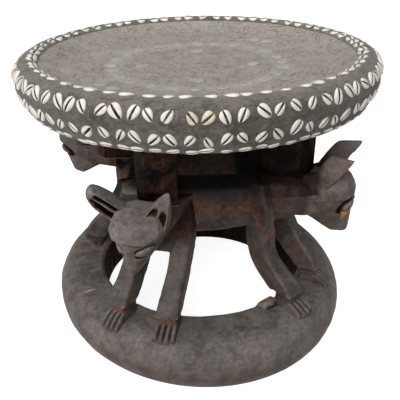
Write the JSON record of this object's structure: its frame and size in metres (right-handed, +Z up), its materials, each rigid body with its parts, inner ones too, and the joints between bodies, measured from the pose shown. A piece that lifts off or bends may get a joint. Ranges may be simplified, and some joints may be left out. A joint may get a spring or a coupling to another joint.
{
  "type": "carved stool",
  "caption": "Round dished seat with a cloth-covered rim studded with shells, carried by a circle of crouching animals that stand on an oval ring base.",
  "frame": {"origin": "on the floor, at the middle of the stool's box, under the seat's own axis", "axes": "+Z is up, along the seat's axis; +X is to the right and +Y to the back as the picture shows the stool"},
  "size_m": [0.4678, 0.4678, 0.3742],
  "materials": {
    "dark_wood": "dark worn carved wood",
    "panel_wood": "greyed engraved wood",
    "cloth": "worn grey cloth",
    "shell": "glossy white shell",
    "disc": "pale dull inlay"
  },
  "bodies": {
    "root": {"seat_panel": "panel_wood", "seat_rim": "dark_wood", "rim_cloth": "cloth", "lip_shells": "shell", "upper_shells": "shell", "lower_shells": "shell", "hem_shells": "shell", "inlaid_discs": "disc", "base_ring": "dark_wood", "front_body": "dark_wood", "right_body": "dark_wood", "back_body": "dark_wood", "left_body": "dark_wood", "front_head": "dark_wood", "right_head": "dark_wood", "back_head": "dark_wood", "left_head": "dark_wood", "front_outer_leg": "dark_wood", "right_outer_leg": "dark_wood", "back_outer_leg": "dark_wood", "left_outer_leg": "dark_wood", "front_inner_leg": "dark_wood", "right_inner_leg": "dark_wood", "back_inner_leg": "dark_wood", "left_inner_leg": "dark_wood", "front_post": "dark_wood", "right_post": "dark_wood", "back_post": "dark_wood", "left_post": "dark_wood"}
  },
  "joints": []
}
